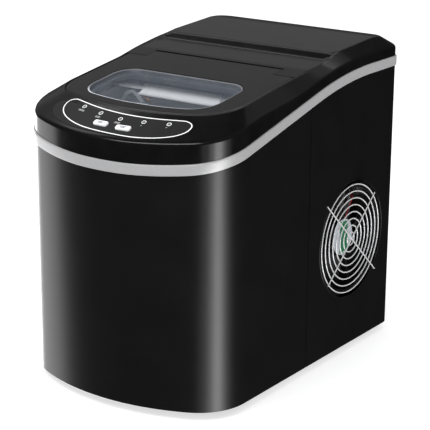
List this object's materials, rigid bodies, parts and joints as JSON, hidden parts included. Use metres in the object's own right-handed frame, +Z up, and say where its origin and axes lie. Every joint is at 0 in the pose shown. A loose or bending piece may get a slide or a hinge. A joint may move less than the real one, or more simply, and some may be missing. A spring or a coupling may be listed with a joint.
{
  "type": "countertop ice maker",
  "caption": "Countertop ice maker: black wrapped cabinet with a rising silver trim band, a sloping hinged lid with a smoky window, a front control panel and a side fan grille.",
  "frame": {"origin": "on the table under the middle of the cabinet", "axes": "+Z up, the bowed front with the control panel faces -Y, the fan side faces +X"},
  "size_m": [0.245, 0.361, 0.328],
  "materials": {
    "gloss_black_steel": "gloss",
    "black_plastic": "satin gloss",
    "silver_trim": "satin",
    "smoky_clear": "clear, slightly smoky",
    "white_plastic": "matte",
    "grey_plastic": "matte",
    "rubber": "matte",
    "steel": "satin",
    "copper": "satin copper",
    "board_green": "satin",
    "foam": "matte foam",
    "lamp": "translucent"
  },
  "bodies": {
    "cabinet": {"base_pan": "black_plastic", "foot_front_left": "rubber", "foot_front_right": "rubber", "foot_rear_left": "rubber", "foot_rear_right": "rubber", "front_wrap": "gloss_black_steel", "rear_wrap": "gloss_black_steel", "rear_screw_1": "steel", "rear_screw_2": "steel", "rear_screw_3": "steel", "rear_screw_4": "steel", "trim_band": "silver_trim", "cord_gland": "rubber", "top_housing": "black_plastic", "hinge_pin_left": "steel", "hinge_pin_right": "steel", "panel_overlay": "black_plastic", "indicator_lens_1": "lamp", "indicator_lens_2": "lamp", "indicator_lens_3": "lamp", "indicator_lens_4": "lamp", "indicator_lens_5": "lamp", "control_board": "board_green", "inner_tank": "white_plastic", "tank_insulation": "foam", "drain_pipe": "grey_plastic", "paddle_rod": "steel", "ice_shield": "white_plastic", "tray_bearing": "white_plastic", "tray_motor": "black_plastic", "evaporator": "steel", "water_pump": "black_plastic", "pump_hose": "grey_plastic", "ice_level_sensor_left": "black_plastic", "ice_level_sensor_right": "black_plastic", "compressor": "gloss_black_steel", "grommet_1": "rubber", "grommet_2": "rubber", "grommet_3": "rubber", "terminal_cover": "black_plastic", "condenser": "steel", "fan_frame": "black_plastic", "fan_guard": "steel", "filter_drier": "copper", "hot_gas_valve": "black_plastic", "discharge_tube": "copper", "liquid_tube": "copper", "capillary_tube": "copper", "suction_tube": "copper", "power_board": "board_green"},
    "lid": {"lid_frame": "black_plastic", "lid_window": "smoky_clear"},
    "power_button": {"power_button": "white_plastic"},
    "size_button": {"size_button": "white_plastic"},
    "fan_rotor": {"fan_rotor": "black_plastic"},
    "water_tray": {"water_tray": "grey_plastic"},
    "ice_paddle": {"ice_paddle": "grey_plastic"},
    "ice_basket": {"ice_basket": "grey_plastic"},
    "pump_impeller": {"pump_impeller": "grey_plastic"},
    "drain_plug": {"drain_plug": "grey_plastic"}
  },
  "joints": [
    {"name": "lid_hinge", "type": "hinge", "parent": "cabinet", "child": "lid", "pos_m": [0, 0.013, 0.3093], "axis": [-1, 0, 0], "range_deg": [0, 100]},
    {"name": "power_button_press", "type": "slide", "parent": "cabinet", "child": "power_button", "axis": [0.0165, 0.4512, -0.8923], "range_m": [0, 0.0008], "stiffness_N_per_m": 400},
    {"name": "size_button_press", "type": "slide", "parent": "cabinet", "child": "size_button", "axis": [-0.0314, 0.4526, -0.8912], "range_m": [0, 0.0008], "stiffness_N_per_m": 400},
    {"name": "fan_spin", "type": "hinge", "parent": "cabinet", "child": "fan_rotor", "pos_m": [0.101, 0.088, 0.1253], "axis": [1, 0, 0], "continuous": true},
    {"name": "tray_tilt", "type": "hinge", "parent": "cabinet", "child": "water_tray", "pos_m": [0, -0.013, 0.262], "axis": [1, 0, 0], "range_deg": [0, 95]},
    {"name": "paddle_swing", "type": "hinge", "parent": "cabinet", "child": "ice_paddle", "pos_m": [0, -0.0525, 0.27], "axis": [-1, 0, 0], "range_deg": [0, 40]},
    {"name": "basket_lift", "type": "slide", "parent": "cabinet", "child": "ice_basket", "axis": [0, 0, 1], "range_m": [0, 0.014]},
    {"name": "impeller_spin", "type": "hinge", "parent": "cabinet", "child": "pump_impeller", "pos_m": [-0.07, 0, 0.068], "axis": [0, 0, 1], "continuous": true},
    {"name": "drain_plug_turn", "type": "hinge", "parent": "cabinet", "child": "drain_plug", "pos_m": [0.06, -0.06, 0.005], "axis": [0, 0, 1], "range_deg": [0, 180]}
  ],
  "couplings": [
    {"joint": "paddle_swing", "follows": "tray_tilt", "ratio": 0.4}
  ]
}
